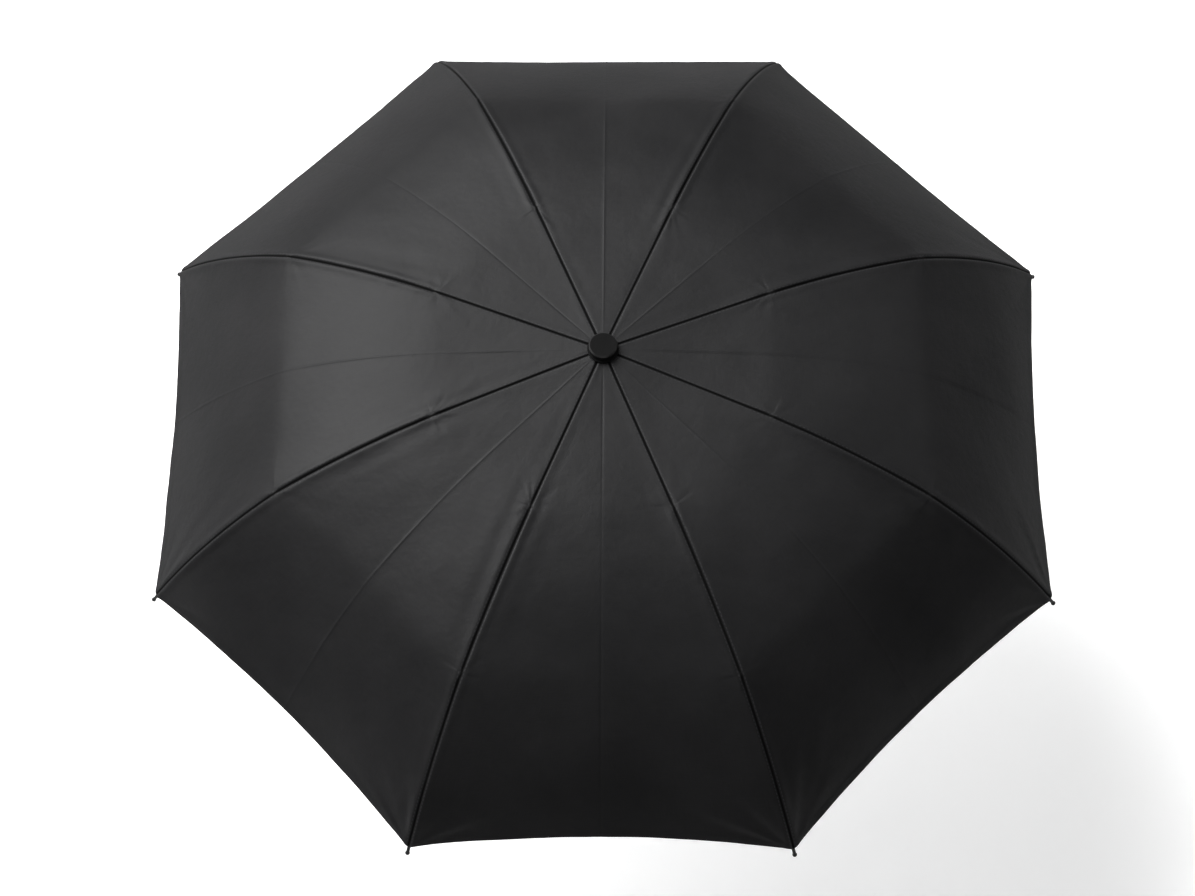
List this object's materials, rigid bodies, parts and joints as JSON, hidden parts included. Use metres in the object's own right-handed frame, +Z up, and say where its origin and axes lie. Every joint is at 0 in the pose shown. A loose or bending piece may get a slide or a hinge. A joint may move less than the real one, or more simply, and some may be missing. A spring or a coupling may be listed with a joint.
{
  "type": "umbrella reflector",
  "caption": "Collapsible umbrella reflector: shallow black cloth dome on three-section folding ribs, telescoping shaft with a plain end for an umbrella bracket.",
  "frame": {"origin": "centre of the shaft's free lower end", "axes": "+Z up the shaft towards the cap; ribs stand at 22.5 degrees from +X and every 45 degrees on"},
  "size_m": [0.915, 0.915, 0.6295],
  "materials": {
    "canopy_cloth": "black woven outside, silver coated inside",
    "steel_rib": "black coated steel channel",
    "outer_rib": "black coated bar",
    "steel_wire": "bright steel wire",
    "tip_metal": "black coated metal tip",
    "moulded_black": "moulded black nylon",
    "cap_black": "satin black with a fine moulded texture",
    "tube_plated": "plated steel tube",
    "tube_black": "black painted steel tube"
  },
  "bodies": {
    "lower_shaft": {"shaft_lower": "tube_plated", "shaft_end_plug": "moulded_black"},
    "mid_shaft": {"shaft_mid": "tube_plated"},
    "upper_shaft": {"shaft_upper": "tube_black", "crown": "moulded_black", "crown_ring_wire": "steel_wire", "top_cap": "cap_black", "cap_collar": "cap_black", "canopy": "canopy_cloth"},
    "runner": {"runner": "moulded_black"},
    "catch": {"runner_catch": "steel_wire"},
    "top_rib_1": {"top_rib_1": "steel_rib"},
    "mid_rib_1": {"mid_rib_1": "steel_rib"},
    "stretcher_1": {"stretcher_1": "steel_rib"},
    "control_link_1": {"control_link_1": "steel_wire"},
    "outer_rib_1": {"outer_rib_1": "outer_rib", "rib_tip_1": "tip_metal"},
    "top_rib_2": {"top_rib_2": "steel_rib"},
    "mid_rib_2": {"mid_rib_2": "steel_rib"},
    "stretcher_2": {"stretcher_2": "steel_rib"},
    "control_link_2": {"control_link_2": "steel_wire"},
    "outer_rib_2": {"outer_rib_2": "outer_rib", "rib_tip_2": "tip_metal"},
    "top_rib_3": {"top_rib_3": "steel_rib"},
    "mid_rib_3": {"mid_rib_3": "steel_rib"},
    "stretcher_3": {"stretcher_3": "steel_rib"},
    "control_link_3": {"control_link_3": "steel_wire"},
    "outer_rib_3": {"outer_rib_3": "outer_rib", "rib_tip_3": "tip_metal"},
    "top_rib_4": {"top_rib_4": "steel_rib"},
    "mid_rib_4": {"mid_rib_4": "steel_rib"},
    "stretcher_4": {"stretcher_4": "steel_rib"},
    "control_link_4": {"control_link_4": "steel_wire"},
    "outer_rib_4": {"outer_rib_4": "outer_rib", "rib_tip_4": "tip_metal"},
    "top_rib_5": {"top_rib_5": "steel_rib"},
    "mid_rib_5": {"mid_rib_5": "steel_rib"},
    "stretcher_5": {"stretcher_5": "steel_rib"},
    "control_link_5": {"control_link_5": "steel_wire"},
    "outer_rib_5": {"outer_rib_5": "outer_rib", "rib_tip_5": "tip_metal"},
    "top_rib_6": {"top_rib_6": "steel_rib"},
    "mid_rib_6": {"mid_rib_6": "steel_rib"},
    "stretcher_6": {"stretcher_6": "steel_rib"},
    "control_link_6": {"control_link_6": "steel_wire"},
    "outer_rib_6": {"outer_rib_6": "outer_rib", "rib_tip_6": "tip_metal"},
    "top_rib_7": {"top_rib_7": "steel_rib"},
    "mid_rib_7": {"mid_rib_7": "steel_rib"},
    "stretcher_7": {"stretcher_7": "steel_rib"},
    "control_link_7": {"control_link_7": "steel_wire"},
    "outer_rib_7": {"outer_rib_7": "outer_rib", "rib_tip_7": "tip_metal"},
    "top_rib_8": {"top_rib_8": "steel_rib"},
    "mid_rib_8": {"mid_rib_8": "steel_rib"},
    "stretcher_8": {"stretcher_8": "steel_rib"},
    "control_link_8": {"control_link_8": "steel_wire"},
    "outer_rib_8": {"outer_rib_8": "outer_rib", "rib_tip_8": "tip_metal"}
  },
  "joints": [
    {"name": "lower_telescope", "type": "slide", "parent": "lower_shaft", "child": "mid_shaft", "axis": [0, 0, 1], "range_m": [-0.165, 0]},
    {"name": "upper_telescope", "type": "slide", "parent": "mid_shaft", "child": "upper_shaft", "axis": [0, 0, 1], "range_m": [-0.165, 0]},
    {"name": "runner_slide", "type": "slide", "parent": "upper_shaft", "child": "runner", "axis": [0, 0, 1], "range_m": [-0.13551, 0], "deforming": ["canopy"]},
    {"name": "catch_press", "type": "slide", "parent": "upper_shaft", "child": "catch", "axis": [-1, 0, 0], "range_m": [0, 0.00098], "stiffness_N_per_m": 400},
    {"name": "crown_hinge_1", "type": "hinge", "parent": "upper_shaft", "child": "top_rib_1", "pos_m": [0.01016, 0.00421, 0.61641], "axis": [-0.3827, 0.9239, 0], "range_deg": [0, 83.45]},
    {"name": "stretcher_hinge_1", "type": "hinge", "parent": "top_rib_1", "child": "stretcher_1", "pos_m": [0.10207, 0.04228, 0.60554], "axis": [-0.3827, 0.9239, 0], "range_deg": [-133.13, 0]},
    {"name": "elbow_hinge_1", "type": "hinge", "parent": "top_rib_1", "child": "mid_rib_1", "pos_m": [0.16537, 0.0685, 0.6075], "axis": [-0.3827, 0.9239, 0], "range_deg": [-184.39, 0]},
    {"name": "knee_hinge_1", "type": "hinge", "parent": "mid_rib_1", "child": "outer_rib_1", "pos_m": [0.31896, 0.13212, 0.56345], "axis": [-0.3827, 0.9239, 0], "range_deg": [0, 149.26]},
    {"name": "link_hinge_1", "type": "hinge", "parent": "stretcher_1", "child": "control_link_1", "pos_m": [0.09458, 0.03918, 0.59872], "axis": [-0.3827, 0.9239, 0], "range_deg": [0, 131.46]},
    {"name": "crown_hinge_2", "type": "hinge", "parent": "upper_shaft", "child": "top_rib_2", "pos_m": [0.00421, 0.01016, 0.61641], "axis": [-0.9239, 0.3827, 0], "range_deg": [0, 83.45]},
    {"name": "stretcher_hinge_2", "type": "hinge", "parent": "top_rib_2", "child": "stretcher_2", "pos_m": [0.04228, 0.10207, 0.60554], "axis": [-0.9239, 0.3827, 0], "range_deg": [-133.13, 0]},
    {"name": "elbow_hinge_2", "type": "hinge", "parent": "top_rib_2", "child": "mid_rib_2", "pos_m": [0.0685, 0.16537, 0.6075], "axis": [-0.9239, 0.3827, 0], "range_deg": [-184.39, 0]},
    {"name": "knee_hinge_2", "type": "hinge", "parent": "mid_rib_2", "child": "outer_rib_2", "pos_m": [0.13212, 0.31896, 0.56345], "axis": [-0.9239, 0.3827, 0], "range_deg": [0, 149.26]},
    {"name": "link_hinge_2", "type": "hinge", "parent": "stretcher_2", "child": "control_link_2", "pos_m": [0.03918, 0.09458, 0.59872], "axis": [-0.9239, 0.3827, 0], "range_deg": [0, 131.46]},
    {"name": "crown_hinge_3", "type": "hinge", "parent": "upper_shaft", "child": "top_rib_3", "pos_m": [-0.00421, 0.01016, 0.61641], "axis": [-0.9239, -0.3827, 0], "range_deg": [0, 83.45]},
    {"name": "stretcher_hinge_3", "type": "hinge", "parent": "top_rib_3", "child": "stretcher_3", "pos_m": [-0.04228, 0.10207, 0.60554], "axis": [-0.9239, -0.3827, 0], "range_deg": [-133.13, 0]},
    {"name": "elbow_hinge_3", "type": "hinge", "parent": "top_rib_3", "child": "mid_rib_3", "pos_m": [-0.0685, 0.16537, 0.6075], "axis": [-0.9239, -0.3827, 0], "range_deg": [-184.39, 0]},
    {"name": "knee_hinge_3", "type": "hinge", "parent": "mid_rib_3", "child": "outer_rib_3", "pos_m": [-0.13212, 0.31896, 0.56345], "axis": [-0.9239, -0.3827, 0], "range_deg": [0, 149.26]},
    {"name": "link_hinge_3", "type": "hinge", "parent": "stretcher_3", "child": "control_link_3", "pos_m": [-0.03918, 0.09458, 0.59872], "axis": [-0.9239, -0.3827, 0], "range_deg": [0, 131.46]},
    {"name": "crown_hinge_4", "type": "hinge", "parent": "upper_shaft", "child": "top_rib_4", "pos_m": [-0.01016, 0.00421, 0.61641], "axis": [-0.3827, -0.9239, 0], "range_deg": [0, 83.45]},
    {"name": "stretcher_hinge_4", "type": "hinge", "parent": "top_rib_4", "child": "stretcher_4", "pos_m": [-0.10207, 0.04228, 0.60554], "axis": [-0.3827, -0.9239, 0], "range_deg": [-133.13, 0]},
    {"name": "elbow_hinge_4", "type": "hinge", "parent": "top_rib_4", "child": "mid_rib_4", "pos_m": [-0.16537, 0.0685, 0.6075], "axis": [-0.3827, -0.9239, 0], "range_deg": [-184.39, 0]},
    {"name": "knee_hinge_4", "type": "hinge", "parent": "mid_rib_4", "child": "outer_rib_4", "pos_m": [-0.31896, 0.13212, 0.56345], "axis": [-0.3827, -0.9239, 0], "range_deg": [0, 149.26]},
    {"name": "link_hinge_4", "type": "hinge", "parent": "stretcher_4", "child": "control_link_4", "pos_m": [-0.09458, 0.03918, 0.59872], "axis": [-0.3827, -0.9239, 0], "range_deg": [0, 131.46]},
    {"name": "crown_hinge_5", "type": "hinge", "parent": "upper_shaft", "child": "top_rib_5", "pos_m": [-0.01016, -0.00421, 0.61641], "axis": [0.3827, -0.9239, 0], "range_deg": [0, 83.45]},
    {"name": "stretcher_hinge_5", "type": "hinge", "parent": "top_rib_5", "child": "stretcher_5", "pos_m": [-0.10207, -0.04228, 0.60554], "axis": [0.3827, -0.9239, 0], "range_deg": [-133.13, 0]},
    {"name": "elbow_hinge_5", "type": "hinge", "parent": "top_rib_5", "child": "mid_rib_5", "pos_m": [-0.16537, -0.0685, 0.6075], "axis": [0.3827, -0.9239, 0], "range_deg": [-184.39, 0]},
    {"name": "knee_hinge_5", "type": "hinge", "parent": "mid_rib_5", "child": "outer_rib_5", "pos_m": [-0.31896, -0.13212, 0.56345], "axis": [0.3827, -0.9239, 0], "range_deg": [0, 149.26]},
    {"name": "link_hinge_5", "type": "hinge", "parent": "stretcher_5", "child": "control_link_5", "pos_m": [-0.09458, -0.03918, 0.59872], "axis": [0.3827, -0.9239, 0], "range_deg": [0, 131.46]},
    {"name": "crown_hinge_6", "type": "hinge", "parent": "upper_shaft", "child": "top_rib_6", "pos_m": [-0.00421, -0.01016, 0.61641], "axis": [0.9239, -0.3827, 0], "range_deg": [0, 83.45]},
    {"name": "stretcher_hinge_6", "type": "hinge", "parent": "top_rib_6", "child": "stretcher_6", "pos_m": [-0.04228, -0.10207, 0.60554], "axis": [0.9239, -0.3827, 0], "range_deg": [-133.13, 0]},
    {"name": "elbow_hinge_6", "type": "hinge", "parent": "top_rib_6", "child": "mid_rib_6", "pos_m": [-0.0685, -0.16537, 0.6075], "axis": [0.9239, -0.3827, 0], "range_deg": [-184.39, 0]},
    {"name": "knee_hinge_6", "type": "hinge", "parent": "mid_rib_6", "child": "outer_rib_6", "pos_m": [-0.13212, -0.31896, 0.56345], "axis": [0.9239, -0.3827, 0], "range_deg": [0, 149.26]},
    {"name": "link_hinge_6", "type": "hinge", "parent": "stretcher_6", "child": "control_link_6", "pos_m": [-0.03918, -0.09458, 0.59872], "axis": [0.9239, -0.3827, 0], "range_deg": [0, 131.46]},
    {"name": "crown_hinge_7", "type": "hinge", "parent": "upper_shaft", "child": "top_rib_7", "pos_m": [0.00421, -0.01016, 0.61641], "axis": [0.9239, 0.3827, 0], "range_deg": [0, 83.45]},
    {"name": "stretcher_hinge_7", "type": "hinge", "parent": "top_rib_7", "child": "stretcher_7", "pos_m": [0.04228, -0.10207, 0.60554], "axis": [0.9239, 0.3827, 0], "range_deg": [-133.13, 0]},
    {"name": "elbow_hinge_7", "type": "hinge", "parent": "top_rib_7", "child": "mid_rib_7", "pos_m": [0.0685, -0.16537, 0.6075], "axis": [0.9239, 0.3827, 0], "range_deg": [-184.39, 0]},
    {"name": "knee_hinge_7", "type": "hinge", "parent": "mid_rib_7", "child": "outer_rib_7", "pos_m": [0.13212, -0.31896, 0.56345], "axis": [0.9239, 0.3827, 0], "range_deg": [0, 149.26]},
    {"name": "link_hinge_7", "type": "hinge", "parent": "stretcher_7", "child": "control_link_7", "pos_m": [0.03918, -0.09458, 0.59872], "axis": [0.9239, 0.3827, 0], "range_deg": [0, 131.46]},
    {"name": "crown_hinge_8", "type": "hinge", "parent": "upper_shaft", "child": "top_rib_8", "pos_m": [0.01016, -0.00421, 0.61641], "axis": [0.3827, 0.9239, 0], "range_deg": [0, 83.45]},
    {"name": "stretcher_hinge_8", "type": "hinge", "parent": "top_rib_8", "child": "stretcher_8", "pos_m": [0.10207, -0.04228, 0.60554], "axis": [0.3827, 0.9239, 0], "range_deg": [-133.13, 0]},
    {"name": "elbow_hinge_8", "type": "hinge", "parent": "top_rib_8", "child": "mid_rib_8", "pos_m": [0.16537, -0.0685, 0.6075], "axis": [0.3827, 0.9239, 0], "range_deg": [-184.39, 0]},
    {"name": "knee_hinge_8", "type": "hinge", "parent": "mid_rib_8", "child": "outer_rib_8", "pos_m": [0.31896, -0.13212, 0.56345], "axis": [0.3827, 0.9239, 0], "range_deg": [0, 149.26]},
    {"name": "link_hinge_8", "type": "hinge", "parent": "stretcher_8", "child": "control_link_8", "pos_m": [0.09458, -0.03918, 0.59872], "axis": [0.3827, 0.9239, 0], "range_deg": [0, 131.46]}
  ],
  "couplings": [
    {"joint": "crown_hinge_1", "follows": "runner_slide", "rad_per_m": -10.747},
    {"joint": "stretcher_hinge_1", "follows": "runner_slide", "rad_per_m": 17.145},
    {"joint": "elbow_hinge_1", "follows": "runner_slide", "rad_per_m": 23.746},
    {"joint": "knee_hinge_1", "follows": "runner_slide", "rad_per_m": -19.222},
    {"joint": "link_hinge_1", "follows": "runner_slide", "rad_per_m": -16.93},
    {"joint": "crown_hinge_2", "follows": "runner_slide", "rad_per_m": -10.747},
    {"joint": "stretcher_hinge_2", "follows": "runner_slide", "rad_per_m": 17.145},
    {"joint": "elbow_hinge_2", "follows": "runner_slide", "rad_per_m": 23.746},
    {"joint": "knee_hinge_2", "follows": "runner_slide", "rad_per_m": -19.222},
    {"joint": "link_hinge_2", "follows": "runner_slide", "rad_per_m": -16.93},
    {"joint": "crown_hinge_3", "follows": "runner_slide", "rad_per_m": -10.747},
    {"joint": "stretcher_hinge_3", "follows": "runner_slide", "rad_per_m": 17.145},
    {"joint": "elbow_hinge_3", "follows": "runner_slide", "rad_per_m": 23.746},
    {"joint": "knee_hinge_3", "follows": "runner_slide", "rad_per_m": -19.222},
    {"joint": "link_hinge_3", "follows": "runner_slide", "rad_per_m": -16.93},
    {"joint": "crown_hinge_4", "follows": "runner_slide", "rad_per_m": -10.747},
    {"joint": "stretcher_hinge_4", "follows": "runner_slide", "rad_per_m": 17.145},
    {"joint": "elbow_hinge_4", "follows": "runner_slide", "rad_per_m": 23.746},
    {"joint": "knee_hinge_4", "follows": "runner_slide", "rad_per_m": -19.222},
    {"joint": "link_hinge_4", "follows": "runner_slide", "rad_per_m": -16.93},
    {"joint": "crown_hinge_5", "follows": "runner_slide", "rad_per_m": -10.747},
    {"joint": "stretcher_hinge_5", "follows": "runner_slide", "rad_per_m": 17.145},
    {"joint": "elbow_hinge_5", "follows": "runner_slide", "rad_per_m": 23.746},
    {"joint": "knee_hinge_5", "follows": "runner_slide", "rad_per_m": -19.222},
    {"joint": "link_hinge_5", "follows": "runner_slide", "rad_per_m": -16.93},
    {"joint": "crown_hinge_6", "follows": "runner_slide", "rad_per_m": -10.747},
    {"joint": "stretcher_hinge_6", "follows": "runner_slide", "rad_per_m": 17.145},
    {"joint": "elbow_hinge_6", "follows": "runner_slide", "rad_per_m": 23.746},
    {"joint": "knee_hinge_6", "follows": "runner_slide", "rad_per_m": -19.222},
    {"joint": "link_hinge_6", "follows": "runner_slide", "rad_per_m": -16.93},
    {"joint": "crown_hinge_7", "follows": "runner_slide", "rad_per_m": -10.747},
    {"joint": "stretcher_hinge_7", "follows": "runner_slide", "rad_per_m": 17.145},
    {"joint": "elbow_hinge_7", "follows": "runner_slide", "rad_per_m": 23.746},
    {"joint": "knee_hinge_7", "follows": "runner_slide", "rad_per_m": -19.222},
    {"joint": "link_hinge_7", "follows": "runner_slide", "rad_per_m": -16.93},
    {"joint": "crown_hinge_8", "follows": "runner_slide", "rad_per_m": -10.747},
    {"joint": "stretcher_hinge_8", "follows": "runner_slide", "rad_per_m": 17.145},
    {"joint": "elbow_hinge_8", "follows": "runner_slide", "rad_per_m": 23.746},
    {"joint": "knee_hinge_8", "follows": "runner_slide", "rad_per_m": -19.222},
    {"joint": "link_hinge_8", "follows": "runner_slide", "rad_per_m": -16.93}
  ]
}
